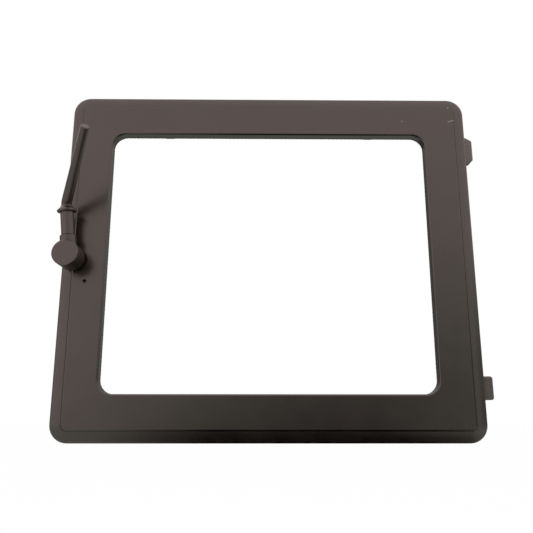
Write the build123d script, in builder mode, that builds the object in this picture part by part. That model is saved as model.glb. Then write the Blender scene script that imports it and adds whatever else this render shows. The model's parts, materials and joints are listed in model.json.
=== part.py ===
# Cast iron stove door: a framed casting with a window opening, two hinge lugs and a turning latch handle.
# Sizes are in millimetres. The origin is the middle of the lower hinge bore, +Z runs up the hinge axis and
# the front of the door faces -Y. "Depth" is measured back from the flat front face, "height" forward of it,
# and "inset" inward from the outer edge of the door.
from build123d import *
import math
import os

# Door outline and window opening
door_width = 430.0
door_height = 368.0
stile_width = 46.0
top_rail_width = 45.0
bottom_rail_width = 47.0
outer_corner_radius = 18.0
opening_corner_radius = 14.0

# Front moulding: a low crowned rim rounded into the side, a small step and the flat face
rim_width = 11.4
rim_side_depth = 6.6
rim_edge_radius = 3.0
step_height = 2.0
step_run = 1.6
step_edge_chamfer = 0.4
opening_edge_round = 1.8

# Back of the casting
plate_thickness = 9.0
skirt_wall = 6.5
skirt_depth = 15.0
rib_inset = 17.5
rib_wall = 3.0
inner_rib_wall = 2.7
rib_depth = 14.0
groove_floor_depth = 8.5

# Seals
rope_diameter = 8.2
rope_sides = 12
rope_side_clearance = 0.3
rope_floor_clearance = 0.15
rope_corner_radius = 26.0
tape_width = 7.0
tape_thickness = 3.0
glass_thickness = 4.0

# Hinge lugs, bored for the stove's upright pins
hinge_reach = 4.2
hinge_depth = 17.0
hinge_bore_radius = 3.1
lower_lug_height = 53.25
lower_lug_length = 23.5
lower_lug_reach = 10.7
upper_lug_height = 310.3
upper_lug_root = 33.5
upper_lug_end = 23.0
upper_lug_reach = 9.6
lug_thickness = 14.0
lug_corner_radius = 2.5
lug_edge_chamfer = 1.2

# Glass clips and their screws
clip_spacing = 220.0
clip_boss_inset = 33.6
clip_boss_radius = 4.0
clip_width = 12.0
clip_thickness = 2.0
clip_tail = 3.8
clip_reach = 8.4
clip_corner_chamfer = 1.5
clip_hole_clearance = 0.2
clip_screw_radius = 2.5
clip_screw_length = 10.0
clip_screw_head_radius = 4.25
clip_screw_head_height = 3.2
clip_screw_slot_width = 1.2
clip_screw_slot_depth = 1.4
screw_hole_spare = 0.5

# Fits
fit_clearance = 0.05
axial_play = 0.1
stop_gap = 0.3

# Handle boss, spindle and hub
hub_inset = 13.0
hub_height = 183.0
front_boss_radius = 12.0
front_boss_rise = 4.2
front_boss_draft_angle = 2.0
back_boss_radius = 7.4
back_boss_depth = 16.0
spindle_radius = 4.5
spindle_flats = 7.0
spindle_thread_radius = 3.0
spindle_thread_spare = 1.6
hub_washer_radius = 11.0
hub_washer_thickness = 1.0
hub_radius = 13.2
hub_length = 23.2
hub_face_wall = 4.5
hub_edge_chamfer = 0.8
neck_radius = 8.2
neck_reach = 20.7
socket_floor = 7.0
set_screw_radius = 2.5
set_screw_length = 7.0
set_screw_socket_flats = 2.5
set_screw_socket_depth = 2.5

# Grip: stub, collar and rod. Leans are degrees to the right of upright, rises degrees out from the face.
grip_height = 14.0
stub_lean_angle = -5.5
stub_rise_angle = 5.0
stub_radius = 6.55
stub_length = 24.7
stub_relief_radius = 5.7
stub_relief_length = 1.0
spigot_radius = 5.0
spigot_spare = 0.3
collar_radius = 9.6
collar_foot_radius = 8.4
collar_top_radius = 5.8
collar_length = 6.4
collar_flank = 1.3
collar_bulge_height = 2.9
collar_shoulder_radius = 7.4
rod_lean_angle = 31.6
rod_rise_angle = 44.8
rod_bend_radius = 6.5
rod_radius = 5.2
rod_tip_radius = 4.2
rod_length = 86.5
rod_tip_chamfer = 0.6
tenon_radius = 4.0
tenon_length = 19.0
tenon_spare = 1.0

# Latch behind the door
latch_washer_radius = 8.5
latch_washer_thickness = 1.0
tongue_thickness = 5.0
tongue_hub_radius = 8.5
tongue_half_width = 4.5
tongue_length = 38.0
tongue_fillet = 2.0
tongue_ramp = 1.5
spring_washer_radius = 6.0
spring_washer_thickness = 1.8
spring_washer_gap = 1.0
nut_flats = 10.0
nut_height = 5.0
nut_chamfer = 0.6

# Cast stops for the tongue
stop_depth = 20.0
stop_length = 9.0
rest_stop_drop = 28.0
latched_stop_inset = 0.4
latched_stop_clear = 9.0
latched_stop_thickness = 4.5

# Small blind hole in the face, below the hub
blind_hole_radius = 2.0
blind_hole_depth = 5.0
blind_hole_inset = 26.0
blind_hole_height = 160.0

# Places worked out from the sizes above
door_x = -(hinge_reach + door_width / 2)
door_z = door_height / 2 - lower_lug_height
rim_drop = rim_side_depth - step_height
crown_inset = rim_width - rim_edge_radius
crown_radius = (crown_inset**2 + rim_drop**2 - rim_edge_radius**2) / (2 * (rim_drop - rim_edge_radius))
crown_turn = math.degrees(math.asin(crown_inset / (crown_radius - rim_edge_radius)))
opening_width = door_width - 2 * stile_width
opening_height = door_height - top_rail_width - bottom_rail_width
opening_rise = (bottom_rail_width - top_rail_width) / 2
groove_width = rope_diameter + 2 * rope_side_clearance
groove_inset = rib_inset + rib_wall
rope_inset = groove_inset + groove_width / 2
land_inset = groove_inset + groove_width + inner_rib_wall
clip_seat_depth = plate_thickness + tape_thickness + glass_thickness
clip_hole_radius = clip_screw_radius + clip_hole_clearance
hub_x = -door_width / 2 + hub_inset
hub_z = hub_height - door_height / 2
hub_back = front_boss_rise + axial_play + hub_washer_thickness
hub_front = hub_back + hub_length
bore_radius = spindle_radius + fit_clearance
stub_start = neck_reach
collar_start = stub_start + stub_length
rod_start = collar_start + collar_length
washer_depth = back_boss_depth + axial_play
tongue_depth = washer_depth + latch_washer_thickness
spring_washer_depth = tongue_depth + tongue_thickness
nut_depth = spring_washer_depth + spring_washer_thickness
overcut = 1.0

os.makedirs("parts", exist_ok=True)


def on_door(depth, x=0.0, z=0.0, right=1):
    """Plane parallel to the face at a depth, its origin x and z from the door's centre, facing the front."""
    return Plane(origin=(door_x + x, depth - hinge_depth, door_z + z), x_dir=(right, 0, 0), z_dir=(0, -1, 0))


def on_hub(height):
    """Plane across the handle's axis at a height in front of the face, facing the front."""
    return on_door(-height, hub_x, hub_z)


def inset_outline(inset, radius, mode=Mode.ADD):
    """Rounded rectangle that runs all round the door at an inset from its edge."""
    return RectangleRounded(door_width - 2 * inset, door_height - 2 * inset, radius, mode=mode)


def inset_path(inset, radius):
    """Closed line round the door at an inset, starting in the middle of the bottom rail."""
    half_width = door_width / 2 - inset
    half_height = door_height / 2 - inset
    corners = FilletPolyline(
        (0, -half_height),
        (half_width, -half_height),
        (half_width, half_height),
        (-half_width, half_height),
        (-half_width, -half_height),
        (-half_width / 2, -half_height),
        radius=radius,
    )
    Line((-half_width / 2, -half_height), (0, -half_height))
    return corners


def across_path(inset, depth):
    """Plane across the start of an inset path, with x inward from the edge and y forward."""
    start = on_door(depth, 0, inset - door_height / 2)
    return Plane(origin=start.origin, x_dir=(0, 0, 1), z_dir=(1, 0, 0))


def leaning(lean, rise):
    """Unit direction that starts upright, leans to the right and rises out from the face."""
    lean, rise = math.radians(lean), math.radians(rise)
    return Vector(math.sin(lean) * math.cos(rise), -math.sin(rise), math.cos(lean) * math.cos(rise))


def hinge_lug(height, root, end, reach):
    """Hinge lug with softened edges, wider at its root in the skirt than at its end."""
    middle = height - door_height / 2
    edge = door_width / 2
    with BuildPart() as lug:
        with BuildSketch(on_door(hinge_depth + lug_thickness / 2)) as outline:
            with BuildLine():
                Polyline(
                    (edge - skirt_wall, middle - root / 2),
                    (edge, middle - root / 2),
                    (edge + reach, middle - end / 2),
                    (edge + reach, middle + end / 2),
                    (edge, middle + root / 2),
                    (edge - skirt_wall, middle + root / 2),
                    close=True,
                )
            make_face()
            fillet(outline.vertices().group_by(Axis.X)[-1], lug_corner_radius)
        extrude(amount=lug_thickness)
        chamfer(lug.faces().filter_by(Axis.Y).edges(), lug_edge_chamfer)
    return lug


upper_lug = hinge_lug(upper_lug_height, upper_lug_root, upper_lug_end, upper_lug_reach)
lower_lug = hinge_lug(lower_lug_height, lower_lug_length, lower_lug_length, lower_lug_reach)

# Casting: full block, moulded rim, window opening and softened edges
with BuildPart() as door_casting:
    with BuildSketch(on_door(skirt_depth)):
        inset_outline(0, outer_corner_radius)
    extrude(amount=skirt_depth)
    with BuildLine(on_door(0)):
        inset_path(0, outer_corner_radius)
    with BuildSketch(across_path(0, 0)):
        with BuildLine():
            crown = JernArc((rim_width, -step_height), (-1, 0), crown_radius, crown_turn)
            edge_round = JernArc(crown @ 1, crown % 1, rim_edge_radius, 90 - crown_turn)
            Polyline(
                edge_round @ 1,
                (-overcut, -rim_side_depth),
                (-overcut, overcut),
                (rim_width + step_run, overcut),
                (rim_width + step_run, 0),
                crown @ 0,
            )
        make_face()
    sweep(mode=Mode.SUBTRACT)
    with BuildSketch(on_door(skirt_depth)):
        with Locations((0, opening_rise)):
            RectangleRounded(opening_width, opening_height, opening_corner_radius)
    extrude(amount=skirt_depth, mode=Mode.SUBTRACT)
    face = door_casting.faces().filter_by(Axis.Y).sort_by(Axis.Y)[0]
    fillet(face.inner_wires()[0].edges(), opening_edge_round)
    face = door_casting.faces().filter_by(Axis.Y).sort_by(Axis.Y)[0]
    chamfer(face.outer_wire().edges(), step_edge_chamfer)

    # Boss on the front that the handle's hub turns on
    with BuildSketch(on_hub(-plate_thickness - overcut)):
        Circle(front_boss_radius)
    extrude(amount=plate_thickness + overcut + front_boss_rise, taper=front_boss_draft_angle)

    # Hollow back inside the skirt, then the two ribs with the rope groove between them
    with BuildSketch(on_door(skirt_depth)):
        inset_outline(skirt_wall, outer_corner_radius - skirt_wall)
    extrude(amount=skirt_depth - plate_thickness, mode=Mode.SUBTRACT)
    with BuildSketch(on_door(rib_depth)):
        inset_outline(rib_inset, rope_corner_radius + groove_width / 2 + rib_wall)
        inset_outline(land_inset, rope_corner_radius - groove_width / 2 - inner_rib_wall, Mode.SUBTRACT)
    extrude(amount=rib_depth - plate_thickness)
    with BuildSketch(on_door(rib_depth)):
        inset_outline(groove_inset, rope_corner_radius + groove_width / 2)
        inset_outline(groove_inset + groove_width, rope_corner_radius - groove_width / 2, Mode.SUBTRACT)
    extrude(amount=rib_depth - groove_floor_depth, mode=Mode.SUBTRACT)

    # Bosses on the back: one for the spindle and four for the glass clips
    with BuildSketch(on_hub(-back_boss_depth)):
        Circle(back_boss_radius)
    extrude(amount=back_boss_depth - plate_thickness)
    with BuildSketch(on_door(clip_seat_depth)):
        with GridLocations(clip_spacing, door_height - 2 * clip_boss_inset, 2, 2):
            Circle(clip_boss_radius)
    extrude(amount=clip_seat_depth - plate_thickness)

    # Hinge lugs on the right edge
    add(upper_lug.part)
    add(lower_lug.part)

    # Cast stops: the tongue hangs against one at rest and lies under the other when latched
    with BuildSketch(on_door(stop_depth)):
        rest_left = hub_x + tongue_half_width + stop_gap
        rest_right = groove_inset - door_width / 2
        with Locations(((rest_left + rest_right) / 2, hub_z - rest_stop_drop)):
            Rectangle(rest_right - rest_left, stop_length)
        latched_left = latched_stop_inset - door_width / 2
        latched_right = hub_x - latched_stop_clear
        latched_low = hub_z + tongue_half_width + stop_gap
        with Locations(((latched_left + latched_right) / 2, latched_low + latched_stop_thickness / 2)):
            Rectangle(latched_right - latched_left, latched_stop_thickness)
    extrude(amount=stop_depth - rib_depth)

    # Bores: spindle, hinge pins, clip screws and the small blind hole in the face
    with BuildSketch(on_hub(-back_boss_depth)):
        Circle(bore_radius)
    extrude(amount=back_boss_depth + front_boss_rise, mode=Mode.SUBTRACT)
    with BuildSketch(Plane.XY.offset(-lower_lug_height)):
        Circle(hinge_bore_radius)
    extrude(amount=door_height, mode=Mode.SUBTRACT)
    with BuildSketch(on_door(clip_seat_depth)):
        with GridLocations(clip_spacing, door_height - 2 * clip_boss_inset, 2, 2):
            Circle(clip_screw_radius + fit_clearance)
    extrude(amount=clip_screw_length - clip_thickness + screw_hole_spare, mode=Mode.SUBTRACT)
    with BuildSketch(on_door(0, blind_hole_inset - door_width / 2, blind_hole_height - door_height / 2)):
        Circle(blind_hole_radius)
    extrude(amount=-blind_hole_depth, mode=Mode.SUBTRACT)
door_casting.part.label = "door_casting"
export_step(door_casting.part, "parts/door_casting.step")

# Rope seal, laid in its groove all round the back
with BuildPart() as door_rope_seal:
    rope_depth = groove_floor_depth + rope_floor_clearance + rope_diameter / 2
    rope_turn = 180 / rope_sides
    with BuildLine(on_door(rope_depth)):
        inset_path(rope_inset, rope_corner_radius)
    with BuildSketch(across_path(rope_inset, rope_depth)):
        RegularPolygon(rope_diameter / 2, rope_sides, major_radius=False, rotation=rope_turn)
    sweep()
door_rope_seal.part.label = "door_rope_seal"
export_step(door_rope_seal.part, "parts/door_rope_seal.step")

# Flat seal tape on the glass seat, flush with the window opening
with BuildPart() as glass_seal_tape:
    with BuildSketch(on_door(plate_thickness + tape_thickness)):
        with Locations((0, opening_rise)):
            RectangleRounded(
                opening_width + 2 * tape_width,
                opening_height + 2 * tape_width,
                opening_corner_radius + tape_width,
            )
            RectangleRounded(opening_width, opening_height, opening_corner_radius, mode=Mode.SUBTRACT)
    extrude(amount=tape_thickness)
glass_seal_tape.part.label = "glass_seal_tape"
export_step(glass_seal_tape.part, "parts/glass_seal_tape.step")


def glass_clip(x, z, inward):
    """Flat clip on its boss, with its tip towards the window; inward is 1 below the window and -1 above."""
    clip_back = clip_seat_depth + clip_thickness
    with BuildPart() as clip:
        with BuildSketch(on_door(clip_back, x, z, inward)) as clip_outline:
            with Locations((0, (clip_reach - clip_tail) / 2)):
                Rectangle(clip_width, clip_reach + clip_tail)
            chamfer(clip_outline.vertices(), clip_corner_chamfer)
            Circle(clip_hole_radius, mode=Mode.SUBTRACT)
        extrude(amount=clip_thickness)
    return clip


def glass_clip_screw(x, z, inward):
    """Slotted cheese-head screw that holds a clip to its boss."""
    clip_back = clip_seat_depth + clip_thickness
    with BuildPart() as screw:
        with BuildSketch(on_door(clip_back, x, z, inward)):
            Circle(clip_screw_radius)
        extrude(amount=clip_screw_length)
        with BuildSketch(on_door(clip_back, x, z, inward)):
            Circle(clip_screw_head_radius)
        extrude(amount=-clip_screw_head_height)
        with BuildSketch(on_door(clip_back + clip_screw_head_height, x, z, inward)):
            Rectangle(2 * clip_screw_head_radius, clip_screw_slot_width)
        extrude(amount=clip_screw_slot_depth, mode=Mode.SUBTRACT)
    return screw


# Glass clips and their screws, two on the top rail and two on the bottom rail
for row, inward in (("upper", -1), ("lower", 1)):
    for side, right in (("left", -1), ("right", 1)):
        clip_x = right * clip_spacing / 2
        clip_z = inward * (clip_boss_inset - door_height / 2)
        clip = glass_clip(clip_x, clip_z, inward)
        clip.part.label = f"glass_clip_{row}_{side}"
        export_step(clip.part, f"parts/glass_clip_{row}_{side}.step")
        screw = glass_clip_screw(clip_x, clip_z, inward)
        screw.part.label = f"glass_clip_screw_{row}_{side}"
        export_step(screw.part, f"parts/glass_clip_screw_{row}_{side}.step")

# Planes of the grip: across the stub, and along it for turned profiles
stub_direction = leaning(stub_lean_angle, stub_rise_angle)
grip_foot = on_hub(grip_height).origin
stub_side = Vector(0, -1, 0).cross(stub_direction).normalized()
along_stub = Plane(origin=grip_foot, x_dir=stub_side, z_dir=stub_side.cross(stub_direction))
stub_axis = Axis(grip_foot, stub_direction)


def across_stub(distance):
    """Plane across the stub at a distance from the hub's axis, facing away from the hub."""
    return Plane(origin=grip_foot + stub_direction * distance, x_dir=stub_side, z_dir=stub_direction)


# Friction washer between the hub and the boss
with BuildPart() as hub_washer:
    with BuildSketch(on_hub(front_boss_rise + axial_play)):
        Circle(hub_washer_radius)
        Circle(bore_radius, mode=Mode.SUBTRACT)
    extrude(amount=hub_washer_thickness)
hub_washer.part.label = "hub_washer"
export_step(hub_washer.part, "parts/hub_washer.step")

# Hub with its neck, bored from the back for the spindle and from the neck for the stub
with BuildPart() as handle_hub:
    with BuildSketch(on_hub(hub_back)):
        Circle(hub_radius)
    extrude(amount=hub_length)
    chamfer(handle_hub.edges().sort_by(Axis.Y)[0], hub_edge_chamfer)
    with BuildSketch(across_stub(0)):
        Circle(neck_radius)
    extrude(amount=neck_reach)
    with BuildSketch(on_hub(hub_back)):
        Circle(bore_radius)
    extrude(amount=hub_length - hub_face_wall, mode=Mode.SUBTRACT)
    with BuildSketch(across_stub(neck_reach)):
        Circle(spigot_radius + fit_clearance)
    extrude(amount=socket_floor - neck_reach, mode=Mode.SUBTRACT)
    set_screw_plane = Plane(origin=grip_foot, x_dir=(0, 0, 1), z_dir=(-1, 0, 0))
    with BuildSketch(set_screw_plane):
        Circle(set_screw_radius + fit_clearance)
    extrude(amount=hub_radius + overcut, mode=Mode.SUBTRACT)
handle_hub.part.label = "handle_hub"
export_step(handle_hub.part, "parts/handle_hub.step")

# Set screw with a hexagon socket, in the side of the hub away from the window
with BuildPart() as hub_set_screw:
    with BuildSketch(set_screw_plane.offset(bore_radius)):
        Circle(set_screw_radius)
    extrude(amount=set_screw_length)
    with BuildSketch(set_screw_plane.offset(bore_radius + set_screw_length)):
        RegularPolygon(set_screw_socket_flats / 2, 6, major_radius=False)
    extrude(amount=-set_screw_socket_depth, mode=Mode.SUBTRACT)
hub_set_screw.part.label = "hub_set_screw"
export_step(hub_set_screw.part, "parts/hub_set_screw.step")

# Stub: a round bar relieved at its foot, with a spigot in the neck and a socket for the rod's tenon
with BuildPart() as handle_stub:
    with BuildSketch(across_stub(stub_start + stub_relief_length)):
        Circle(stub_radius)
    extrude(amount=stub_length - stub_relief_length)
    with BuildSketch(across_stub(stub_start)):
        Circle(stub_relief_radius)
    extrude(amount=stub_relief_length)
    with BuildSketch(across_stub(stub_start)):
        Circle(spigot_radius)
    extrude(amount=socket_floor + spigot_spare - neck_reach)
    with BuildSketch(across_stub(collar_start)):
        Circle(tenon_radius + fit_clearance)
    extrude(amount=collar_length - tenon_length - tenon_spare, mode=Mode.SUBTRACT)
handle_stub.part.label = "handle_stub"
export_step(handle_stub.part, "parts/handle_stub.step")

# Beaded collar between stub and rod
with BuildPart() as handle_collar:
    with BuildSketch(along_stub):
        with BuildLine():
            inside = tenon_radius + fit_clearance
            Polyline(
                (inside, collar_start),
                (collar_foot_radius, collar_start),
                (collar_radius, collar_start + collar_flank),
                (collar_radius, collar_start + collar_bulge_height),
                (collar_shoulder_radius, rod_start - collar_flank),
                (collar_top_radius, rod_start),
                (inside, rod_start),
                close=True,
            )
        make_face()
    revolve(axis=stub_axis)
handle_collar.part.label = "handle_collar"
export_step(handle_collar.part, "parts/handle_collar.step")

# Rod: a tenon through the collar, one bend and a long tapered grip
rod_direction = leaning(rod_lean_angle, rod_rise_angle)
rod_bend = stub_direction.get_angle(rod_direction)
rod_foot = across_stub(rod_start).origin
bend_plane = Plane(origin=rod_foot, x_dir=stub_direction, z_dir=stub_direction.cross(rod_direction))
with BuildPart() as handle_rod:
    with BuildSketch(across_stub(rod_start)):
        Circle(tenon_radius)
    extrude(amount=-tenon_length)
    with BuildLine(bend_plane) as bend_path:
        JernArc((0, 0), (1, 0), rod_bend_radius, rod_bend)
    with BuildSketch(across_stub(rod_start)):
        Circle(rod_radius)
    sweep()
    grip_plane = Plane(origin=bend_path.line @ 1, x_dir=bend_plane.z_dir, z_dir=rod_direction)
    grip_length = rod_length - rod_tip_chamfer
    with BuildSketch(grip_plane):
        Circle(rod_radius)
    extrude(amount=grip_length, taper=math.degrees(math.atan2(rod_radius - rod_tip_radius, grip_length)))
    with BuildSketch(grip_plane.offset(grip_length)):
        Circle(rod_tip_radius)
    extrude(amount=rod_tip_chamfer, taper=45)
handle_rod.part.label = "handle_rod"
export_step(handle_rod.part, "parts/handle_rod.step")

# Spindle: round through hub and casting, then squared for the tongue and threaded for the nut
with BuildPart() as handle_spindle:
    spindle_front = hub_front - hub_face_wall - spigot_spare
    with BuildSketch(on_hub(spindle_front)):
        Circle(spindle_radius)
    extrude(amount=-spindle_front - tongue_depth)
    with BuildSketch(on_hub(-tongue_depth)):
        Circle(spindle_radius)
        Rectangle(spindle_flats, spindle_flats, mode=Mode.INTERSECT)
    extrude(amount=-tongue_thickness)
    with BuildSketch(on_hub(-spring_washer_depth)):
        Circle(spindle_thread_radius)
    extrude(amount=-spring_washer_thickness - nut_height - spindle_thread_spare)
handle_spindle.part.label = "handle_spindle"
export_step(handle_spindle.part, "parts/handle_spindle.step")

# Flat washer between the casting and the tongue
with BuildPart() as latch_washer:
    with BuildSketch(on_hub(-washer_depth)):
        Circle(latch_washer_radius)
        Circle(bore_radius, mode=Mode.SUBTRACT)
    extrude(amount=-latch_washer_thickness)
latch_washer.part.label = "latch_washer"
export_step(latch_washer.part, "parts/latch_washer.step")

# Tongue: hangs straight down when the handle is up; its leading edge is ramped to draw the door shut
with BuildPart() as latch_tongue:
    with BuildSketch(on_hub(-tongue_depth)) as tongue:
        Circle(tongue_hub_radius)
        with Locations((0, -(tongue_length - tongue_half_width) / 2)):
            Rectangle(2 * tongue_half_width, tongue_length - tongue_half_width)
        with Locations((0, tongue_half_width - tongue_length)):
            Circle(tongue_half_width)
        shoulder = math.sqrt(tongue_hub_radius**2 - tongue_half_width**2)
        shoulders = tongue.vertices().filter_by_position(Axis.Y, -shoulder - stop_gap, -shoulder + stop_gap)
        fillet(shoulders, tongue_fillet)
    extrude(amount=-tongue_thickness)
    leading = latch_tongue.edges().filter_by(Axis.Z).group_by(Axis.X)[0].sort_by(Axis.Y)[0]
    chamfer(leading, tongue_ramp)
    with BuildSketch(on_hub(-tongue_depth)):
        Circle(bore_radius)
        flats = spindle_flats + 2 * fit_clearance
        Rectangle(flats, flats, mode=Mode.INTERSECT)
    extrude(amount=-tongue_thickness, mode=Mode.SUBTRACT)
latch_tongue.part.label = "latch_tongue"
export_step(latch_tongue.part, "parts/latch_tongue.step")

# Split spring washer
with BuildPart() as latch_spring_washer:
    with BuildSketch(on_hub(-spring_washer_depth)):
        Circle(spring_washer_radius)
        Circle(spindle_thread_radius + fit_clearance, mode=Mode.SUBTRACT)
        with Locations((spring_washer_radius / 2, 0)):
            Rectangle(spring_washer_radius, spring_washer_gap, mode=Mode.SUBTRACT)
    extrude(amount=-spring_washer_thickness)
latch_spring_washer.part.label = "latch_spring_washer"
export_step(latch_spring_washer.part, "parts/latch_spring_washer.step")

# Hexagon nut, its outer corners turned off
with BuildPart() as latch_nut:
    with BuildSketch(on_hub(-nut_depth)):
        RegularPolygon(nut_flats / 2, 6, major_radius=False)
    extrude(amount=-nut_height)
    nut_corner_radius = nut_flats / 2 / math.cos(math.radians(30))
    with BuildSketch(on_hub(-nut_depth - nut_height)):
        Circle(nut_corner_radius - nut_chamfer / 2)
    nut_turning = math.degrees(math.atan2(nut_corner_radius, nut_height))
    extrude(amount=nut_height, taper=-nut_turning, mode=Mode.INTERSECT)
    with BuildSketch(on_hub(-nut_depth)):
        Circle(spindle_thread_radius + fit_clearance)
    extrude(amount=-nut_height, mode=Mode.SUBTRACT)
latch_nut.part.label = "latch_nut"
export_step(latch_nut.part, "parts/latch_nut.step")
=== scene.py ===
"""Finishes, soft seals and studio for a cast iron stove door with a turning latch handle.

Lengths are metres in the door's own frame: the origin is the middle of the lower hinge bore, +Z runs up
the hinge axis, +X points from the latch side to the hinge side and the front of the door faces -Y.
"""

import json
import logging
import math
from dataclasses import dataclass
from enum import Enum
from typing import Any, Callable, Optional, Union

import bpy
import numpy as np
from mathutils import Matrix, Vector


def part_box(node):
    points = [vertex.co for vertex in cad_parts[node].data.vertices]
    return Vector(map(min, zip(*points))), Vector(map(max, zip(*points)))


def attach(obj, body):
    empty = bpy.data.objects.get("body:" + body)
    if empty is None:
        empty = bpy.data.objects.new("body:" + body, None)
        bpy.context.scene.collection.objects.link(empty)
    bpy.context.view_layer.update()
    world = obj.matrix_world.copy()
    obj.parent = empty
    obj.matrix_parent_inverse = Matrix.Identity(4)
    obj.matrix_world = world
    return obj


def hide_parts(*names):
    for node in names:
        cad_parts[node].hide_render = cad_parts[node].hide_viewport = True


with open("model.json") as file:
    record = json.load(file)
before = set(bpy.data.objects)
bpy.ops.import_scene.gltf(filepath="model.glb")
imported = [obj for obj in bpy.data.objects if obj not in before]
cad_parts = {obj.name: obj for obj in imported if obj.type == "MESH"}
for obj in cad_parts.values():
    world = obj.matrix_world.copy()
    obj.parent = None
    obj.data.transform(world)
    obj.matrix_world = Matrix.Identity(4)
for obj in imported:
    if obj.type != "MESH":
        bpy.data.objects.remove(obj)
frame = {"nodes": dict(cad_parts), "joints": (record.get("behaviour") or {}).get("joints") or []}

Place = tuple[float, float, float]
Colour = tuple[float, float, float]
Span = tuple[float, float]

MM = 0.001
WHITE: Colour = (1.0, 1.0, 1.0)
ORIGIN: Place = (0.0, 0.0, 0.0)
FRONT = np.array((0.0, -1.0, 0.0))
BACK = np.array((0.0, 1.0, 0.0))
UP = np.array((0.0, 0.0, 1.0))
QUARTER = math.pi / 2
NOISE_MIDDLE = 0.5
# A vector times this keeps only what shows of it from the front.
SEEN_FROM_FRONT: Place = (1.0, 0.0, 1.0)
# The squared length, in square metres, that a mark with no run is given.
TINY_SQUARE = 1e-12
# A tone times what it lacks to white is at most a quarter.
HALF_TONE_GAIN = 4.0
log = logging.getLogger("stove_door")


# Shader building

class Value:
    """A shader socket that Python's operators work on. Each operator adds one Math node."""

    def __init__(self, graph: "Graph", socket: bpy.types.NodeSocket) -> None:
        """Keeps the socket and the graph it belongs to."""
        self.graph = graph
        self.socket = socket

    def math(self, operation: str, *others: "Term", clamp: bool = False) -> "Value":
        """Adds a Math node with this socket first.

        Args:
            operation: The Math node's operation, such as ADD.
            others: The second and third terms, sockets or numbers.
            clamp: Whether the result is held between 0 and 1.

        Returns:
            The node's result.
        """
        return self.graph.math(operation, self, *others, clamp=clamp)

    def __add__(self, other: "Term") -> "Value":
        """This plus other."""
        return self.math("ADD", other)

    def __radd__(self, other: "Term") -> "Value":
        """Other plus this."""
        return self.math("ADD", other)

    def __sub__(self, other: "Term") -> "Value":
        """This minus other."""
        return self.math("SUBTRACT", other)

    def __rsub__(self, other: "Term") -> "Value":
        """Other minus this."""
        return self.graph.math("SUBTRACT", other, self)

    def __mul__(self, other: "Term") -> "Value":
        """This times other."""
        return self.math("MULTIPLY", other)

    def __rmul__(self, other: "Term") -> "Value":
        """Other times this."""
        return self.math("MULTIPLY", other)

    def __truediv__(self, other: "Term") -> "Value":
        """This over other."""
        return self.math("DIVIDE", other)

    def smooth_step(self, span: Span, low: float = 0.0, high: float = 1.0) -> "Value":
        """Changes smoothly from low to high while this runs over a span.

        Args:
            span: The two values of this at which the change starts and ends.
            low: The result before the span.
            high: The result after the span.

        Returns:
            The result.
        """
        return self.graph.node(
            "ShaderNodeMapRange",
            {"interpolation_type": "SMOOTHSTEP"},
            {"Value": self, "From Min": span[0], "From Max": span[1], "To Min": low, "To Max": high},
        )["Result"]


Term = Union[Value, float]
Input = Union[Value, float, tuple]


def opaque(colour: Colour) -> tuple[float, float, float, float]:
    """A colour as a colour socket takes it."""
    return (*colour, 1.0)


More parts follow.
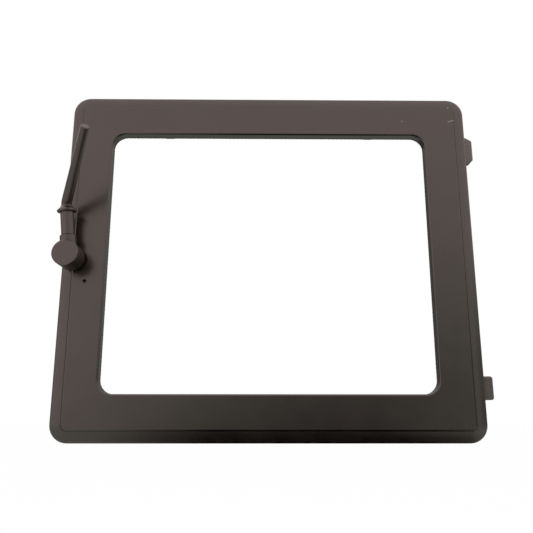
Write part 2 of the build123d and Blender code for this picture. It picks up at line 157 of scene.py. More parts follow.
class Graph:
    """A material's or world's node tree, cleared and rebuilt."""

    # A Mix node has its sockets once for each kind of value. These are the ones for colours.
    MIX_FACTOR = 0
    MIX_LOW = 6
    MIX_HIGH = 7

    def __init__(self, owner: Union[bpy.types.Material, bpy.types.World]) -> None:
        """Empties the owner's tree.

        Args:
            owner: The material or world.
        """
        owner.use_nodes = True
        self.tree = owner.node_tree
        self.tree.nodes.clear()

    def node(
        self, kind: str, settings: dict[str, Any], inputs: dict[Union[str, int], Input]
    ) -> dict[str, Value]:
        """Adds one node.

        Args:
            kind: The node's type.
            settings: Its properties, set before any socket is touched.
            inputs: Values or links for its sockets, by name or number.

        Returns:
            Its enabled outputs by name.
        """
        made = self.tree.nodes.new(kind)
        for name, setting in settings.items():
            setattr(made, name, setting)
        for name, given in inputs.items():
            socket = made.inputs[name]
            if isinstance(given, Value):
                self.tree.links.new(given.socket, socket)
            else:
                socket.default_value = given
        return {out.name: Value(self, out) for out in made.outputs if out.enabled}

    def math(self, operation: str, first: Term, *others: Term, clamp: bool = False) -> Value:
        """Adds a Math node on sockets and numbers and gives its result."""
        terms = dict(enumerate((first, *others)))
        return self.node("ShaderNodeMath", {"operation": operation, "use_clamp": clamp}, terms)["Value"]

    def vector(self, operation: str, first: Input, second: Input = ORIGIN, out: str = "Vector") -> Value:
        """Adds a Vector Math node and gives the output named out."""
        return self.node("ShaderNodeVectorMath", {"operation": operation}, {0: first, 1: second})[out]

    def scaled(self, vector: Input, factor: Term) -> Value:
        """A vector times a number."""
        terms = {0: vector, "Scale": factor}
        return self.node("ShaderNodeVectorMath", {"operation": "SCALE"}, terms)["Vector"]

    def mix(self, factor: Term, low: Union[Value, Colour], high: Union[Value, Colour]) -> Value:
        """Mixes two colours.

        Args:
            factor: The share of the high colour, from 0 to 1.
            low: The colour where the factor is 0.
            high: The colour where the factor is 1.

        Returns:
            The mixed colour.
        """
        low, high = (given if isinstance(given, Value) else opaque(given) for given in (low, high))
        sockets = {self.MIX_FACTOR: factor, self.MIX_LOW: low, self.MIX_HIGH: high}
        return self.node("ShaderNodeMix", {"data_type": "RGBA"}, sockets)["Result"]

    def object_place(self, centre: Place = ORIGIN) -> Value:
        """Object coordinates in metres, measured from centre."""
        sockets = {"Vector": self.object_output("Object"), "Location": tuple(-c for c in centre)}
        return self.node("ShaderNodeMapping", {}, sockets)["Vector"]

    def object_output(self, name: str) -> Value:
        """One output of Texture Coordinate, such as Object, Normal or UV."""
        return self.node("ShaderNodeTexCoord", {}, {})[name]

    def split(self, vector: Value) -> tuple[Value, Value, Value]:
        """The three parts of a vector."""
        parts = self.node("ShaderNodeSeparateXYZ", {}, {"Vector": vector})
        return parts["X"], parts["Y"], parts["Z"]

    def noise(self, place: Value, size: float, detail: float = 3.0, roughness: float = 0.55) -> Value:
        """Soft noise from 0 to 1 whose blots are about size metres across."""
        return self.node(
            "ShaderNodeTexNoise",
            {"noise_dimensions": "3D", "normalize": True},
            {"Vector": place, "Scale": 1.0 / size, "Detail": detail, "Roughness": roughness},
        )["Fac"]

    def cells(self, place: Value, size: float) -> Value:
        """Distance from the nearest of many scattered points, in shares of size metres."""
        sockets = {"Vector": place, "Scale": 1.0 / size}
        return self.node("ShaderNodeTexVoronoi", {"feature": "F1"}, sockets)["Distance"]

    def bump(self, relief: Value) -> Value:
        """Normal of a surface raised by relief metres, which the node counts in millimetres."""
        sockets = {"Height": relief / MM, "Distance": MM, "Strength": 1.0}
        return self.node("ShaderNodeBump", {}, sockets)["Normal"]

    def glow(self, colour: Union[Value, tuple], strength: Term) -> Value:
        """An Emission shader."""
        return self.node("ShaderNodeEmission", {}, {"Color": colour, "Strength": strength})["Emission"]

    def end(self, shader: Value) -> None:
        """Ends the material in this shader."""
        self.node("ShaderNodeOutputMaterial", {}, {"Surface": shader})

    def surface(self, settings: dict[str, Input]) -> None:
        """Ends the material in a Principled BSDF with these sockets."""
        self.end(self.node("ShaderNodeBsdfPrincipled", {}, settings)["BSDF"])

    def seen_directly(self) -> Value:
        """Picks out the rays that show the background.

        Returns:
            1 for a ray from the camera, off gloss or through glass, and 0 for scattered light.
        """
        path = self.node("ShaderNodeLightPath", {}, {})
        shown = path["Is Camera Ray"].math("MAXIMUM", path["Is Glossy Ray"])
        return shown.math("MAXIMUM", path["Is Transmission Ray"])


# Finishes. A field named for a feature alone, such as grain, streak or speck, is the feature's size in
# metres. A span holds the two values of a noise or mask between which its effect comes in.

@dataclass(frozen=True)
class Mark:
    """A small bare spot in the paint, or a scratch along a run, with soft edges."""

    start: Place
    half_width: float
    strength: float
    run: Place = ORIGIN
    core_share: float = 0.35

    def mask(self, graph: Graph, place: Value) -> Value:
        """Works out how bare the paint is.

        The distance from the run, seen from the front, is turned into the mark's strength near it,
        which falls smoothly to 0 at the mark's half width.

        Args:
            graph: The material's graph.
            place: Object coordinates.

        Returns:
            The mask.
        """
        square = max(sum(part * part for part in self.run), TINY_SQUARE)
        reach = graph.vector("SUBTRACT", place, self.start)
        along = graph.vector("DOT_PRODUCT", reach, self.run, "Value").math("DIVIDE", square, clamp=True)
        off = graph.vector("SUBTRACT", reach, graph.scaled(self.run, along))
        distance = graph.vector("LENGTH", graph.vector("MULTIPLY", off, SEEN_FROM_FRONT), out="Value")
        faded = distance.smooth_step((self.core_share * self.half_width, self.half_width))
        return (1.0 - faded) * self.strength


@dataclass(frozen=True)
class StovePaint:
    """Satin brown-black stove paint over iron, with the grain of the casting under it."""

    dark: Colour = (0.0034, 0.0025, 0.0022)
    light: Colour = (0.0066, 0.0050, 0.0044)
    bare: Colour = (0.34, 0.33, 0.31)
    ash: Colour = (0.030, 0.027, 0.024)
    thin: Colour = (0.036, 0.028, 0.026)
    sheen_tint: Colour = (1.0, 0.80, 0.74)
    refraction: float = 1.60
    specular_level: float = 0.92
    roughness: float = 0.25
    roughness_spread: float = 0.06
    back_roughness: float = 0.16
    streak_roughness: float = 0.12
    worn_roughness: float = 0.15
    roughest: float = 0.95
    blot: float = 26.0 * MM
    blot_span: Span = (0.3, 0.7)
    back_span: Span = (0.35, 0.9)
    streak: float = 45.0 * MM
    streak_span: Span = (0.35, 0.75)
    least_ash: float = 0.35
    thin_edge: float = 0.2 * MM
    grain: float = 1.3 * MM
    grain_height: float = 0.030 * MM
    pit: float = 4.5 * MM
    pit_span: Span = (0.05, 0.35)
    pit_height: float = 0.020 * MM
    wave: float = 34.0 * MM
    wave_height: float = 0.10 * MM

    def build(
        self,
        name: str,
        marks: tuple[Mark, ...] = (),
        sooty_back: bool = False,
        thin_beyond: Optional[float] = None,
    ) -> bpy.types.Material:
        """Makes the material.

        Args:
            name: The material's name.
            marks: Bare spots in the paint.
            sooty_back: Whether faces that look to the back are ashy and duller.
            thin_beyond: The place along X, in metres, beyond which the paint is thin and paler.

        Returns:
            The material.
        """
        material = bpy.data.materials.new(name)
        graph = Graph(material)
        place = graph.object_place()
        grain = graph.noise(place, self.grain, detail=4.0, roughness=0.6)
        blots = graph.noise(place, self.blot, detail=5.0, roughness=0.6)
        wave = graph.noise(place, self.wave, detail=1.0)
        pits = graph.cells(place, self.pit).smooth_step(self.pit_span)
        colour = graph.mix(blots.smooth_step(self.blot_span), self.dark, self.light)
        rough = self.roughness + self.roughness_spread * (blots - NOISE_MIDDLE)
        rough = rough + self.roughness_spread * (grain - NOISE_MIDDLE)
        if sooty_back:
            _, backward, _ = graph.split(graph.object_output("Normal"))
            back = backward.smooth_step(self.back_span)
            streaks = graph.noise(place, self.streak, detail=6.0, roughness=0.65)
            streaks = streaks.smooth_step(self.streak_span)
            ashy = back * (self.least_ash + streaks * (1.0 - self.least_ash))
            colour = graph.mix(ashy, colour, self.ash)
            rough = rough + back * (self.back_roughness + streaks * self.streak_roughness)
        if thin_beyond is not None:
            across, _, _ = graph.split(place)
            on_lug = across.smooth_step((thin_beyond - self.thin_edge, thin_beyond + self.thin_edge))
            colour = graph.mix(on_lug, colour, self.thin)
        if marks:
            worn = marks[0].mask(graph, place)
            for mark in marks[1:]:
                worn = worn.math("MAXIMUM", mark.mask(graph, place))
            colour = graph.mix(worn, colour, self.bare)
            rough = rough + worn * self.worn_roughness
        relief = self.grain_height * grain + self.pit_height * pits + self.wave_height * wave
        graph.surface({
            "Base Color": colour,
            "Roughness": rough.math("MINIMUM", self.roughest),
            "IOR": self.refraction,
            "Specular IOR Level": self.specular_level,
            "Specular Tint": opaque(self.sheen_tint),
            "Normal": graph.bump(relief),
        })
        return material


class SteelWork(Enum):
    """How a steel surface was worked, which sets the direction of its fine lines."""

    TURNED = "turned"
    ROLLED = "rolled"


@dataclass(frozen=True)
class HeatTintedSteel:
    """Dull steel, straw and grey from heat, with turned rings or rolled lines and specks of rust."""

    pale: Colour = (0.40, 0.375, 0.34)
    straw: Colour = (0.33, 0.27, 0.20)
    rust: Colour = (0.13, 0.060, 0.030)
    roughness: float = 0.36
    heat_roughness: float = 0.1
    rust_roughness: float = 0.6
    speck_roughness: float = 0.12
    line_pitch: float = 0.35 * MM
    line_height: float = 0.006 * MM
    wobble: float = 3.0 * MM
    wobble_angle: float = 3.0
    heat: float = 9.0 * MM
    heat_span: Span = (0.35, 0.7)
    speck: float = 2.2 * MM
    speck_height: float = 0.01 * MM
    rust_span: Span = (0.60, 0.74)
    rust_share: float = 0.25

    def build(self, name: str, work: SteelWork, centre: Place) -> bpy.types.Material:
        """Makes the material.

        Args:
            name: The material's name.
            work: Whether its lines are turned rings round centre or rolled and straight.
            centre: The axis that turned rings run round, a point on a line along Y.

        Returns:
            The material.
        """
        material = bpy.data.materials.new(name)
        graph = Graph(material)
        place = graph.object_place(centre)
        across, _, up = graph.split(place)
        if work is SteelWork.TURNED:
            line = (across * across + up * up).math("SQRT")
        else:
            line = across
        wobble = graph.noise(place, self.wobble, detail=2.0)
        lines = (line / self.line_pitch * math.tau + wobble * self.wobble_angle).math("SINE")
        heat = graph.noise(place, self.heat, detail=3.0).smooth_step(self.heat_span)
        specks = graph.noise(place, self.speck, detail=6.0, roughness=0.7)
        rusted = specks.smooth_step(self.rust_span) * self.rust_share
        tinted = graph.mix(heat, self.pale, self.straw)
        rough = self.roughness + heat * self.heat_roughness + rusted * self.rust_roughness
        graph.surface({
            "Base Color": graph.mix(rusted, tinted, self.rust),
            "Metallic": 1.0 - rusted,
            "Roughness": rough + (specks - NOISE_MIDDLE) * self.speck_roughness,
            "Normal": graph.bump(lines * self.line_height + specks * self.speck_height),
        })
        return material


@dataclass(frozen=True)
class RubbedIron:
    """Dark iron without paint, polished lighter where it rubs."""

    dark: Colour = (0.055, 0.050, 0.046)
    rubbed: Colour = (0.22, 0.21, 0.20)
    metallic: float = 0.55
    rubbed_metallic: float = 0.4
    roughness: float = 0.48
    rubbed_smoothness: float = 0.14
    grain_roughness: float = 0.12
    grain: float = 1.1 * MM
    grain_height: float = 0.05 * MM
    patch: float = 7.0 * MM
    patch_start: float = 0.75
    patch_end: float = 0.85
    rub_reach: float = 0.4

    def build(self, name: str, rub: float) -> bpy.types.Material:
        """Makes the material.

        Args:
            name: The material's name.
            rub: How much of the surface is polished, from 0 to 1.

        Returns:
            The material.
        """
        material = bpy.data.materials.new(name)
        graph = Graph(material)
        place = graph.object_place()
        grain = graph.noise(place, self.grain, detail=4.0)
        patches = graph.noise(place, self.patch, detail=5.0, roughness=0.65)
        worn = patches.smooth_step((self.patch_start - self.rub_reach * rub, self.patch_end))
        rough = self.roughness - worn * self.rubbed_smoothness
        graph.surface({
            "Base Color": graph.mix(worn, self.dark, self.rubbed),
            "Metallic": self.metallic + worn * self.rubbed_metallic,
            "Roughness": rough + (grain - NOISE_MIDDLE) * self.grain_roughness,
            "Normal": graph.bump(grain * self.grain_height),
        })
        return material


@dataclass(frozen=True)
class GlassFibre:
    """Glass fibre yarn, grey from soot, with fine filaments along and across the piece's own UV map."""

    sooty: float
    clean: Colour = (0.30, 0.285, 0.26)
    soot: Colour = (0.055, 0.050, 0.046)
    roughness: float = 0.86
    fuzz_roughness: float = 0.1
    specular_level: float = 0.35
    filament: float = 0.22 * MM
    filament_height: float = 0.04 * MM
    wander: float = 2.5 * MM
    wander_angle: float = 4.0
    fuzz: float = 0.6 * MM
    fuzz_height: float = 0.12 * MM
    smoke: float = 30.0 * MM
    smoke_start: float = 0.62
    smoke_reach: float = 0.5
    smoke_fade: float = 0.35
    smoke_share: float = 0.8
    filament_share: float = 0.08
    least_soot: float = 0.1

    def build(self, name: str) -> bpy.types.Material:
        """Makes the material.

        Args:
            name: The material's name.

        Returns:
            The material.
        """
        material = bpy.data.materials.new(name)
        graph = Graph(material)
        place = graph.object_place()
        along, around, _ = graph.split(graph.object_output("UV"))
        wander = graph.noise(place, self.wander, detail=2.0) * self.wander_angle
        threads = ((along + around) / self.filament * math.pi + wander).math("SINE")
        cross = ((along - around) / self.filament * math.pi + wander).math("SINE")
        filaments = threads * 0.5 + cross * 0.5
        smoke = graph.noise(place, self.smoke, detail=5.0, roughness=0.65)
        fuzz = graph.noise(place, self.fuzz, detail=3.0)
        low = self.smoke_start - self.smoke_reach * self.sooty
        dirty = smoke.smooth_step((low, low + self.smoke_fade))
        share = dirty * self.smoke_share + filaments * self.filament_share + self.least_soot
        graph.surface({
            "Base Color": graph.mix(share, self.clean, self.soot),
            "Roughness": self.roughness + fuzz * self.fuzz_roughness,
            "Specular IOR Level": self.specular_level,
            "Normal": graph.bump(filaments * self.filament_height + fuzz * self.fuzz_height),
        })
        return material


def dress(node: str, material: bpy.types.Material) -> None:
    """Gives a CAD node's object one material.

    Args:
        node: The node's name.
        material: Its finish.
    """
    slots = frame["nodes"][node].data.materials
    slots.clear()
    slots.append(material)


# Surfaces worked out as whole arrays

@dataclass(frozen=True)
class Ring:
    """A closed rounded rectangle in an XZ plane, walked from the foot of its right side, up and round."""

    centre: Place
    half_x: float
    half_z: float
    radius: float

    @property
    def sides(self) -> np.ndarray:
        """Straight lengths of the right, top, left and bottom sides."""
        return 2 * (np.array([self.half_z, self.half_x, self.half_z, self.half_x]) - self.radius)

    @property
    def length(self) -> float:
        """The way all round: four straights and a full circle of the corner radius."""
        return float(self.sides.sum() + math.tau * self.radius)

    def walk(self, way: np.ndarray) -> tuple[np.ndarray, np.ndarray]:
        """Gives points of the ring.

        A side and the quarter turn after it make one stretch. The point stands radius out from that
        turn's middle, at the side's own angle plus what has been turned, less what is left of the side.

        Args:
            way: Distances along the ring.

        Returns:
            The points and the outward directions, one row each.
        """
        stretches = self.sides + QUARTER * self.radius
        starts = np.concatenate(([0.0], np.cumsum(stretches)[:-1]))
        side = np.clip(np.searchsorted(starts, way, side="right") - 1, 0, len(starts) - 1)
        local = way - starts[side]
        straight = np.minimum(local, self.sides[side])
        turned = np.maximum(local - self.sides[side], 0.0) / self.radius
        heading = side * QUARTER
        middle_x = (self.half_x - self.radius) * np.array([1, -1, -1, 1])[side]
        middle_z = (self.half_z - self.radius) * np.array([1, 1, -1, -1])[side]
        left = self.sides[side] - straight
        out = np.stack([np.cos(heading + turned), np.zeros_like(way), np.sin(heading + turned)], 1)
        x = middle_x + self.radius * out[:, 0] + left * np.sin(heading)
        z = middle_z + self.radius * out[:, 2] - left * np.cos(heading)
        points = np.stack([x, np.zeros_like(way), z], 1) + np.array(self.centre)
        return points, out


def closed_grid(name: str, points: np.ndarray, cell: Span) -> bpy.types.Object:
    """Makes a smooth mesh from a grid of points that closes both ways, like a ring's skin.

    Args:
        name: The object's name.
        points: Rows along the ring, columns round its section, then x, y and z.
        cell: Real size of one grid cell along and around, which the UV map counts in.

    Returns:
        The new object, at the origin, its faces pointing out.
    """
    rows, columns = points.shape[:2]
    row, column = np.meshgrid(np.arange(rows), np.arange(columns), indexing="ij")
    corner_rows = np.stack([row, row + 1, row + 1, row], -1)
    corner_columns = np.stack([column, column, column + 1, column + 1], -1)
    quads = ((corner_rows % rows) * columns + corner_columns % columns).reshape(-1, 4)
    flat = points.reshape(-1, 3)
    first, second, third, fourth = (flat[quads[:, corner]] for corner in range(4))
    volume = np.einsum("ij,ij->i", first, np.cross(second, third) + np.cross(third, fourth)).sum()
    turn = slice(None) if volume > 0 else slice(None, None, -1)
    faces = quads[:, turn]
    mesh = bpy.data.meshes.new(name)
    mesh.vertices.add(len(flat))
    mesh.vertices.foreach_set("co", flat.astype(np.float32).ravel())
    mesh.loops.add(faces.size)
    mesh.loops.foreach_set("vertex_index", faces.astype(np.int32).ravel())
    mesh.polygons.add(len(faces))
    mesh.polygons.foreach_set("loop_start", np.arange(0, faces.size, faces.shape[1], dtype=np.int32))
    mesh.polygons.foreach_set("use_smooth", np.ones(len(faces), bool))
    mesh.update(calc_edges=True)
    uv = np.stack([corner_rows * cell[0], corner_columns * cell[1]], -1).reshape(-1, 4, 2)[:, turn]
    mesh.uv_layers.new(name="surface").data.foreach_set("uv", uv.astype(np.float32).ravel())
    mesh.validate()
    made = bpy.data.objects.new(name, mesh)
    bpy.context.scene.collection.objects.link(made)
    return made


def finish_piece(
    piece: bpy.types.Object, material: bpy.types.Material, body: str, slot: str, *nodes: str
) -> None:
    """Dresses a new piece, puts it on its body and lets it stand for CAD nodes.

    Args:
        piece: The new object.
        material: Its finish.
        body: The body that it rides on.
        slot: The record's material slot; not used.
        nodes: The CAD nodes that it replaces.
    """
    piece.data.materials.append(material)
    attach(piece, body)
    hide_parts(*nodes)
    log.info("%s: %d faces on %s for %s", piece.name, len(piece.data.polygons), body, ", ".join(nodes))


# Sub-assemblies

@dataclass
class Casting:
    """The door's casting in stove paint, thin on the lugs and worn at a few spots near the upper hinge."""

    paint: StovePaint = StovePaint()
    lug_root: float = -4.2 * MM
    dot: Mark = Mark(start=(-21.4 * MM, -13.0 * MM, 304.1 * MM), half_width=1.5 * MM, strength=0.30)
    scratch: Mark = Mark(
        start=(-22.7 * MM, -17.0 * MM, 286.1 * MM),
        run=(6.8 * MM, 2.0 * MM, 2.2 * MM),
        half_width=0.9 * MM,
        strength=0.34,
    )
    faint_dot: Mark = Mark(start=(-73.7 * MM, -17.0 * MM, 286.6 * MM), half_width=1.3 * MM, strength=0.22)

    def build(self) -> None:
        """Dresses the casting."""
        marks = (self.dot, self.scratch, self.faint_dot)
        paint = self.paint.build("casting_paint", marks, sooty_back=True, thin_beyond=self.lug_root)
        dress("door_casting", paint)
        log.info("door_casting: painted")


@dataclass
class RopeSeal:
    """Knitted glass fibre rope, laid round the door in its groove."""

    corner_radius: float = 26.0 * MM
    wales: int = 8
    stitch: float = 4.2 * MM
    rows_per_stitch: int = 4
    columns_per_wale: int = 7
    stitch_height: float = 0.34 * MM
    wale_height: float = 0.42 * MM
    wale_power: float = 1.5
    slant: float = 0.42
    finish: GlassFibre = GlassFibre(sooty=0.45)

    def build(self) -> None:
        """Builds the rope's knitted skin as a displaced tube.

        The radius at a point is the rope's own less a groove and a dip. The groove between neighbouring
        wales is the wale height times a power of 1 less a cosine that falls from a wale's middle to its
        edge. The dip is the stitch height times a cosine wave along the rope, whose phase leads at the
        edges of each wale, which draws the knit's chevrons.
        """
        low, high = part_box("door_rope_seal")
        radius = (high.y - low.y) / 2
        centre = tuple((low + high) / 2)
        ring = Ring(centre, (high.x - low.x) / 2 - radius, (high.z - low.z) / 2 - radius, self.corner_radius)
        stitches = round(ring.length / self.stitch)
        rows = stitches * self.rows_per_stitch
        columns = self.wales * self.columns_per_wale
        way = np.arange(rows) * ring.length / rows
        middle, out = ring.walk(way)
        around = np.arange(columns) / columns
        wale = np.abs(2 * ((around * self.wales) % 1.0) - 1)
        phase = way[:, None] / ring.length * stitches + self.slant * wale[None, :]
        groove = self.wale_height * (1 - np.cos(QUARTER * wale)) ** self.wale_power
        dip = self.stitch_height * (0.5 - 0.5 * np.cos(math.tau * phase))
        reach = radius - groove[None, :] - dip
        angle = math.tau * around
        spokes = out[:, None, :] * np.cos(angle)[None, :, None] + BACK * np.sin(angle)[None, :, None]
        points = middle[:, None, :] + reach[..., None] * spokes
        cell = (ring.length / rows, math.tau * radius / columns)
        piece = closed_grid("rope_seal_knit", points, cell)
        finish_piece(piece, self.finish.build("rope_fibre"), "door", "rope", "door_rope_seal")


@dataclass
class SeatTape:
    """Woven glass fibre tape on the glass seat, its inner edge flush with the window opening."""

    width: float = 7.0 * MM
    corner_radius: float = 17.5 * MM
    section_power: float = 5.0
    thread: float = 2.2 * MM
    rows_per_thread: int = 4
    threads_around: int = 4
    columns: int = 36
    weave_height: float = 0.16 * MM
    finish: GlassFibre = GlassFibre(sooty=0.95, clean=(0.12, 0.112, 0.10), soot=(0.022, 0.020, 0.018))

    def build(self) -> None:
        """Builds the tape as a ring with a softened rectangle for its section.

        The section is a superellipse, |x / a| ** n + |y / b| ** n = 1. A product of two sine waves, along
        and around the tape, takes up to the weave height off its reach, so that threads pass over and
        under.
        """
        low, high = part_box("glass_seal_tape")
        half_thickness = (high.y - low.y) / 2
        half_width = self.width / 2
        centre = tuple((low + high) / 2)
        half_x = (high.x - low.x) / 2 - half_width
        half_z = (high.z - low.z) / 2 - half_width
        ring = Ring(centre, half_x, half_z, self.corner_radius)
        threads = 2 * round(ring.length / self.thread / 2)
        rows = threads * self.rows_per_thread
        way = np.arange(rows) * ring.length / rows
        middle, out = ring.walk(way)
        angle = math.tau * np.arange(self.columns) / self.columns
        cos, sin = np.cos(angle), np.sin(angle)
        shares = np.abs(np.stack((cos / half_width, sin / half_thickness)))
        reach = (shares ** self.section_power).sum(0) ** (-1 / self.section_power)
        along = np.sin(math.pi * way / ring.length * threads)
        over = along[:, None] * np.sin(self.threads_around * angle)[None, :]
        depth = reach[None, :] - self.weave_height * (0.5 - 0.5 * over)
        points = (
            middle[:, None, :]
            + (depth * cos)[..., None] * out[:, None, :]
            + (depth * sin)[..., None] * BACK
        )
        around = 4 * (half_width + half_thickness) / self.columns
        piece = closed_grid("seat_tape_weave", points, (ring.length / rows, around))
        finish_piece(piece, self.finish.build("tape_fibre"), "door", "tape", "glass_seal_tape")


@dataclass
class GlassClips:
    """Four flat clips on the back, each with its slotted screw."""

    finish: HeatTintedSteel = HeatTintedSteel()

    def build(self) -> None:
        """Dresses clips with rolled lines and screws with turned rings about their own axes."""
        for row in ("upper", "lower"):
            for side in ("left", "right"):
                low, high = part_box(f"glass_clip_screw_{row}_{side}")
                centre = tuple((low + high) / 2)
                rolled = self.finish.build(f"clip_steel_{row}_{side}", SteelWork.ROLLED, centre)
                turned = self.finish.build(f"screw_steel_{row}_{side}", SteelWork.TURNED, centre)
                dress(f"glass_clip_{row}_{side}", rolled)
                dress(f"glass_clip_screw_{row}_{side}", turned)
                log.info("glass_clip_%s_%s: dressed with its screw", row, side)


@dataclass
class Handle:
    """The turning handle: hub, stub, beaded collar and bent rod, with its latch at the back."""

    grip_height: float = 14.0 * MM
    stub_lean: float = math.radians(-5.5)
    stub_rise: float = math.radians(5.0)
    collar_start: float = 45.4 * MM
    collar_length: float = 6.4 * MM
    collar_foot: float = 9.1 * MM
    collar_top: float = 5.8 * MM
    collar_crest: float = 9.58 * MM
    collar_crest_share: float = 0.16
    collar_bore: float = 4.05 * MM
    collar_land: float = 0.5 * MM
    collar_columns: int = 96
    collar_steps: int = 36
    collar_cell: Span = (0.4 * MM, 0.6 * MM)
    paint: StovePaint = StovePaint(
        dark=(0.0130, 0.0072, 0.0070),
        light=(0.0170, 0.0098, 0.0092),
        roughness=0.36,
        grain_height=0.018 * MM,
        wave_height=0.03 * MM,
    )
    steel: HeatTintedSteel = HeatTintedSteel()
    tongue_iron: RubbedIron = RubbedIron()
    tongue_rub: float = 0.6
    screw_oxide: RubbedIron = RubbedIron(rubbed=(0.10, 0.10, 0.10))
    screw_rub: float = 0.2

    def stub_frame(self) -> tuple[np.ndarray, np.ndarray, np.ndarray, np.ndarray]:
        """Works out where the stub stands.

        Returns:
            Its foot on the hub's axis, its direction, and two directions across it.
        """
        foot = np.array(frame["joints"][0]["pos_m"], float) + self.grip_height * FRONT
        along = np.array([
            math.sin(self.stub_lean) * math.cos(self.stub_rise),
            -math.sin(self.stub_rise),
            math.cos(self.stub_lean) * math.cos(self.stub_rise),
        ])
        side = np.cross(FRONT, along)
        side /= np.linalg.norm(side)
        return foot, along, side, np.cross(side, along)

    def collar(self) -> bpy.types.Object:
        """Turns the collar's profile round the stub's axis.

        The profile goes up from the foot, round a low crest and on to the top, then in along the top,
        down the bore and out along the foot. Below the crest the radius lacks a square of the way still
        to climb. Above it the radius falls from crest to top by half a cosine wave, an ogee.

        Returns:
            The collar.
        """
        foot, along, side, front = self.stub_frame()
        climbed = np.linspace(0.0, 1.0, self.collar_steps)
        below = np.clip(1 - climbed / self.collar_crest_share, 0.0, 1.0)
        above = np.clip((climbed - self.collar_crest_share) / (1 - self.collar_crest_share), 0.0, 1.0)
        radius = self.collar_crest - (self.collar_crest - self.collar_foot) * below ** 2
        radius -= (self.collar_crest - self.collar_top) * (0.5 - 0.5 * np.cos(math.pi * above))
        top_land = self.collar_top - self.collar_land
        foot_land = self.collar_foot - self.collar_land
        profile_r = np.concatenate((radius, (top_land, self.collar_bore, self.collar_bore, foot_land)))
        profile_h = np.concatenate((climbed, (1.0, 1.0, 0.0, 0.0))) * self.collar_length + self.collar_start
        turn = math.tau * np.arange(self.collar_columns) / self.collar_columns
        spokes = np.cos(turn)[:, None] * side + np.sin(turn)[:, None] * front
        points = (
            foot
            + profile_h[:, None, None] * along
            + profile_r[:, None, None] * spokes[None, :, :]
        )
        return closed_grid("collar_bead", points, self.collar_cell)

    def build(self) -> None:
        """Dresses the handle's and the latch's nodes and builds the collar."""
        coat = self.paint.build("handle_paint")
        for node in ("handle_hub", "handle_stub", "handle_rod"):
            dress(node, coat)
            log.info("%s: painted", node)
        finish_piece(self.collar(), coat, "handle", "handle_iron", "handle_collar")
        axis = tuple(frame["joints"][0]["pos_m"])
        steel = self.steel.build("latch_steel", SteelWork.TURNED, axis)
        for node in ("hub_washer", "handle_spindle", "latch_washer", "latch_spring_washer", "latch_nut"):
            dress(node, steel)
            log.info("%s: dressed", node)
        dress("latch_tongue", self.tongue_iron.build("tongue_iron", self.tongue_rub))
        dress("hub_set_screw", self.screw_oxide.build("set_screw_oxide", self.screw_rub))
        log.info("latch_tongue and hub_set_screw: dressed")


# Studio

def stage_sheet(name: str, corners: list[Place]) -> bpy.types.Object:
    """Makes a flat stage object of one face.

    Args:
        name: The object's name.
        corners: Its corners, in order round it.

    Returns:
        The new object.
    """
    mesh = bpy.data.meshes.new(name)
    mesh.from_pydata(corners, [], [tuple(range(len(corners)))])
    made = bpy.data.objects.new(name, mesh)
    bpy.context.scene.collection.objects.link(made)
    return made


def stand(thing: bpy.types.Object, axes: tuple[np.ndarray, np.ndarray, np.ndarray], place: Place) -> None:
    """Stands a camera or lamp in the scene.

    Args:
        thing: The camera or lamp.
        axes: The directions of its own X, Y and Z. It looks against the last one.
        place: Where it stands.
    """
    bpy.context.scene.collection.objects.link(thing)
    turned = np.eye(4)
    turned[:3] = np.column_stack((*axes, place))
    thing.matrix_world = Matrix(turned.tolist())


@dataclass(frozen=True)
class ViewCamera:
    """The camera, at the photograph's viewing angle, its focal length given in pixels of the frame."""

    place: Place = (-227.8 * MM, -610.2 * MM, -16.0 * MM)
    tilt: float = math.radians(13.14)
    yaw: float = math.radians(0.565)
    roll: float = math.radians(0.03)
    focal_pixels: float = 590.5
    frame_pixels: float = 533.0
    sensor: float = 36.0
    clip: Span = (0.01, 100.0)

    def build(self) -> None:
        """Stands the camera up, yawed from the door's depth axis, tilted up and rolled about its view."""
        forward = np.array([
            math.sin(self.yaw) * math.cos(self.tilt),
            math.cos(self.yaw) * math.cos(self.tilt),
            math.sin(self.tilt),
        ])
        level = np.array([math.cos(self.yaw), -math.sin(self.yaw), 0.0])
        upright = np.cross(level, forward)
        right = math.cos(self.roll) * level + math.sin(self.roll) * upright
        up = -math.sin(self.roll) * level + math.cos(self.roll) * upright
        data = bpy.data.cameras.new("camera")
        data.sensor_width = self.sensor
        data.lens = self.sensor * self.focal_pixels / self.frame_pixels
        data.clip_start, data.clip_end = self.clip
        made = bpy.data.objects.new("camera", data)
        stand(made, (right, up, -forward), self.place)
        bpy.context.scene.camera = made


@dataclass(frozen=True)
class SoftLamp:
    """A soft rectangular lamp, offset from what it looks at, that gloss does not show."""

    name: str
    offset: Place
    size: Span
    watts: float

    def build(self, aim: np.ndarray) -> None:
        """Stands the lamp up.

        Args:
            aim: The point that it looks at.
        """
        data = bpy.data.lights.new(self.name, "AREA")
        data.shape = "RECTANGLE"
        data.size, data.size_y = self.size
        data.energy = self.watts
        made = bpy.data.objects.new(self.name, data)
        back = np.array(self.offset) / np.linalg.norm(self.offset)
        right = np.cross(UP, back)
        right /= np.linalg.norm(right)
        stand(made, (right, np.cross(back, right), back), tuple(aim + np.array(self.offset)))
        made.visible_glossy = False


class Axis(Enum):
    """The door's own directions, by their number in a vector."""

    ACROSS = 0
    DEPTH = 1
    HEIGHT = 2


@dataclass(frozen=True)
class PlainFade:
    """A card's tone that changes smoothly along one axis, over a span, from the first tone to the second."""

    axis: Axis
    span: Span
    tones: Span

    def tone(self, graph: Graph) -> Value:
        """The tone, worked out from Object coordinates."""
        return graph.split(graph.object_place())[self.axis.value].smooth_step(self.span, *self.tones)


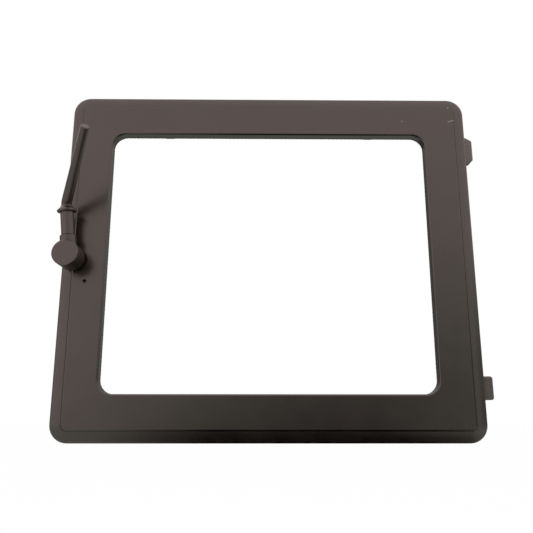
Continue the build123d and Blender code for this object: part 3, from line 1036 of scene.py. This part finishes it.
@dataclass(frozen=True)
class DarkBand:
    """A level card's tone: a dark band that widens away from the door, light grey on both its sides."""

    middle: float
    widening: float
    span: Span
    light: float

    def tone(self, graph: Graph) -> Value:
        """Works the tone out from Object coordinates.

        The distance from the band's middle, over a width that grows with the distance in front of or
        behind the hinge axis, fades over the span.

        Args:
            graph: The card's graph.

        Returns:
            The tone.
        """
        across, away, _ = graph.split(graph.object_place((self.middle, 0.0, 0.0)))
        width = away.math("ABSOLUTE") * self.widening + 1.0
        return (across.math("ABSOLUTE") / width).smooth_step(self.span, high=self.light)


@dataclass(frozen=True)
class DarkHeart:
    """An upright card's tone: dark round one point, fading to nearly white, but less far to the right."""

    heart: Place
    right_limit: float
    span: Span
    tones: Span

    def tone(self, graph: Graph) -> Value:
        """Works the tone out from Object coordinates, by the distance from the heart.

        Args:
            graph: The card's graph.

        Returns:
            The tone.
        """
        across, _, height = graph.split(graph.object_place(self.heart))
        across = across.math("MINIMUM", self.right_limit)
        reach = (across * across + height * height).math("SQRT")
        return reach.smooth_step(self.span, *self.tones)


@dataclass(frozen=True)
class GlossCards:
    """Cards of fading tone in front of, below, beside and behind the door that only its gloss shows."""

    drop: float = 90.0 * MM
    half_width: float = 2.4
    front: float = -1.6
    seam: float = 0.16
    back: float = 1.2
    left: float = -2.0
    right: float = 1.5
    front_top: float = 2.2
    back_top: float = 0.9
    side_top: float = 0.5
    olive_tint: Colour = (0.97, 1.13, 1.02)
    tint_power: float = 3.0
    floor_tone: DarkBand = DarkBand(middle=-0.165, widening=0.9, span=(0.10, 0.29), light=0.62)
    back_floor_tone: PlainFade = PlainFade(Axis.ACROSS, span=(-1.2, -0.6), tones=(0.0, 0.38))
    front_tone: DarkHeart = DarkHeart(
        heart=(0.16, 0.0, -0.45), right_limit=0.6, span=(0.10, 1.55), tones=(0.10, 0.98)
    )
    back_tone: PlainFade = PlainFade(Axis.ACROSS, span=(-0.45, -0.10), tones=(0.13, 0.28))
    left_tone: PlainFade = PlainFade(Axis.DEPTH, span=(-0.5, 0.1), tones=(1.0, 0.20))
    right_tone: PlainFade = PlainFade(Axis.HEIGHT, span=(-0.05, 0.45), tones=(0.20, 0.60))

    def card(self, name: str, corners: list[Place], fade: Union[PlainFade, DarkBand, DarkHeart]) -> None:
        """Hangs one card, white where it is light and faintly olive in its half tones.

        The olive's share is a power of the tone times what it lacks to white, which peaks half way.

        Args:
            name: The card's name.
            corners: Its four corners, in order round it.
            fade: Its tone.
        """
        made = stage_sheet(name, corners)
        material = bpy.data.materials.new(name)
        graph = Graph(material)
        tone = fade.tone(graph)
        half_tone = (tone * (1.0 - tone) * HALF_TONE_GAIN).math("POWER", self.tint_power)
        graph.end(graph.glow(graph.mix(half_tone, WHITE, self.olive_tint), tone))
        made.data.materials.append(material)
        made.visible_camera = False
        made.visible_diffuse = False
        made.visible_shadow = False
        made.visible_transmission = False

    def build(self) -> None:
        """Hangs all six cards."""
        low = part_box("door_casting")[0].z - self.drop
        wide, front, back, high = self.half_width, self.front, self.back, self.side_top

        def level(start: float, end: float) -> list[Place]:
            """Corners of a level card between two depths."""
            return [(-wide, start, low), (wide, start, low), (wide, end, low), (-wide, end, low)]

        def across(depth: float, top: float) -> list[Place]:
            """Corners of an upright card at a depth."""
            return [(-wide, depth, low), (wide, depth, low), (wide, depth, top), (-wide, depth, top)]

        def beside(place: float) -> list[Place]:
            """Corners of an upright card at one side."""
            return [(place, front, low), (place, back, low), (place, back, high), (place, front, high)]

        self.card("floor_card", level(front, self.seam), self.floor_tone)
        self.card("back_floor_card", level(self.seam, back), self.back_floor_tone)
        self.card("front_card", across(front, self.front_top), self.front_tone)
        self.card("back_card", across(back, self.back_top), self.back_tone)
        self.card("left_card", beside(self.left), self.left_tone)
        self.card("right_card", beside(self.right), self.right_tone)


@dataclass
class Studio:
    """Camera, pale floor, white surround, reflecting cards and soft lamps."""

    camera: ViewCamera = ViewCamera()
    floor_drop: float = 250.0 * MM
    floor_half: float = 8.0
    floor_white: Colour = (0.94, 0.94, 0.94)
    floor_glow: float = 0.97
    scattered_light: float = 0.72
    cards: GlossCards = GlossCards()
    lamps: tuple[SoftLamp, ...] = (
        SoftLamp("key_lamp", offset=(-0.9, -1.1, 1.0), size=(0.9, 0.9), watts=14.0),
        SoftLamp("top_lamp", offset=(0.2, -0.5, 1.4), size=(1.2, 0.7), watts=8.0),
    )

    def floor(self) -> None:
        """Lays a pale floor that keeps the door's faint shadow."""
        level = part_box("door_casting")[0].z - self.floor_drop
        half = self.floor_half
        corners = [(-half, -half, level), (half, -half, level), (half, half, level), (-half, half, level)]
        made = stage_sheet("floor", corners)
        material = bpy.data.materials.new("floor_white")
        graph = Graph(material)
        matt = graph.node("ShaderNodeBsdfDiffuse", {}, {"Color": opaque(self.floor_white)})["BSDF"]
        share = graph.seen_directly() * self.floor_glow
        shaders = {0: share, 1: matt, 2: graph.glow(opaque(WHITE), 1.0)}
        graph.end(graph.node("ShaderNodeMixShader", {}, shaders)["Shader"])
        made.data.materials.append(material)

    def surround(self) -> None:
        """Puts up a white surround, a little dimmer to scattered light than to the eye."""
        world = bpy.data.worlds.new("surround")
        bpy.context.scene.world = world
        graph = Graph(world)
        strength = self.scattered_light + graph.seen_directly() * (1.0 - self.scattered_light)
        sky = {"Color": opaque(WHITE), "Strength": strength}
        background = graph.node("ShaderNodeBackground", {}, sky)["Background"]
        graph.node("ShaderNodeOutputWorld", {}, {"Surface": background})

    def build(self) -> None:
        """Builds the whole studio, its lamps aimed at the middle of the casting."""
        self.camera.build()
        self.floor()
        self.surround()
        self.cards.build()
        low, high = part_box("door_casting")
        aim = np.array((low + high) / 2)
        for lamp in self.lamps:
            lamp.build(aim)
        bpy.context.scene.view_settings.view_transform = "Standard"
        log.info("studio: camera, floor, surround, cards and lamps are in place")


def main() -> None:
    """Builds the studio and each sub-assembly in order."""
    logging.basicConfig(level=logging.INFO, format="%(name)s: %(message)s")
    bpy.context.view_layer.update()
    builders: tuple[Callable[[], None], ...] = (
        Studio().build,
        Casting().build,
        RopeSeal().build,
        SeatTape().build,
        GlassClips().build,
        Handle().build,
    )
    for build in builders:
        build()
    bpy.context.view_layer.update()


if __name__ == "__main__":
    main()
